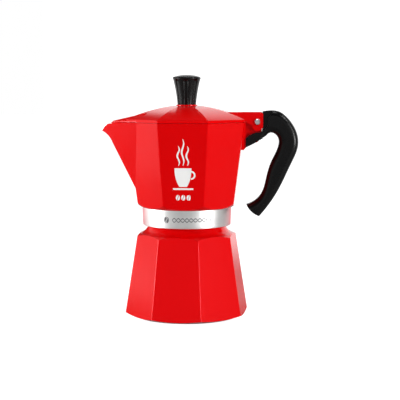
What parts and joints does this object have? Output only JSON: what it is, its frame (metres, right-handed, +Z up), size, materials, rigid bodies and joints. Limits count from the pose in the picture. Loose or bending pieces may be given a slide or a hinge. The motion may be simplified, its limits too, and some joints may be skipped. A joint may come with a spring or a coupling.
{
  "type": "moka pot",
  "caption": "Stovetop coffee maker: octagonal water boiler, funnel filter, screw-on collector with V spout, hinged lid with fluted knob, side grip handle and spring safety valve.",
  "frame": {"origin": "centre of the boiler's standing face, on the pot's axis", "axes": "+Z up the pot's axis, +X towards the handle, -X towards the spout, -Y is the side seen with the spout on the left"},
  "size_m": [0.1738, 0.1072, 0.213],
  "materials": {
    "boiler_enamel": "gloss red enamel on cast aluminium, bare bottom and neck",
    "collector_enamel": "gloss red enamel on cast aluminium, satin bare collar and inside",
    "lid_enamel": "gloss red enamel on cast aluminium",
    "cast_aluminium": "satin",
    "sheet_aluminium": "spun",
    "brass": "turned",
    "steel": "plain",
    "gasket_rubber": "matt",
    "fibre": "matt",
    "black_plastic": "semi-gloss"
  },
  "bodies": {
    "boiler": {"boiler": "boiler_enamel", "safety_valve_body": "brass", "safety_valve_washer": "fibre", "safety_valve_nut": "brass", "safety_valve_cap": "brass", "safety_valve_spring": "steel"},
    "valve_pin": {"safety_valve_pin": "brass"},
    "funnel": {"filter_funnel": "sheet_aluminium", "funnel_strainer": "sheet_aluminium"},
    "seal": {"gasket": "gasket_rubber", "filter_plate": "sheet_aluminium"},
    "collector": {"collector": "collector_enamel", "coffee_column": "cast_aluminium", "hinge_pin": "steel", "handle": "black_plastic", "handle_screw": "steel"},
    "lid": {"lid": "lid_enamel", "knob": "black_plastic", "knob_insert": "brass", "knob_screw": "steel", "knob_washer": "steel"}
  },
  "joints": [
    {"name": "valve_pin_pull", "type": "slide", "parent": "boiler", "child": "valve_pin", "axis": [0.1103, 0.9831, 0.1461], "range_m": [0, 0.0015], "stiffness_N_per_m": 400, "springref_m": -0.001, "deforming": ["safety_valve_spring"]},
    {"name": "top_lift", "type": "slide", "parent": "boiler", "child": "funnel", "axis": [0, 0, 1], "range_m": [0, 0.1]},
    {"name": "collector_rise", "type": "slide", "parent": "funnel", "child": "seal", "axis": [0, 0, 1], "range_m": [0, 0.00451]},
    {"name": "collector_turn", "type": "hinge", "parent": "seal", "child": "collector", "pos_m": [0, 0, 0.0965], "axis": [0, 0, 1], "range_deg": [0, 540]},
    {"name": "lid_hinge", "type": "hinge", "parent": "collector", "child": "lid", "pos_m": [0.0624, 0, 0.172], "axis": [0, 1, 0], "range_deg": [0, 100]}
  ],
  "couplings": [
    {"joint": "collector_rise", "follows": "collector_turn", "m_per_rad": 0.00047746}
  ]
}
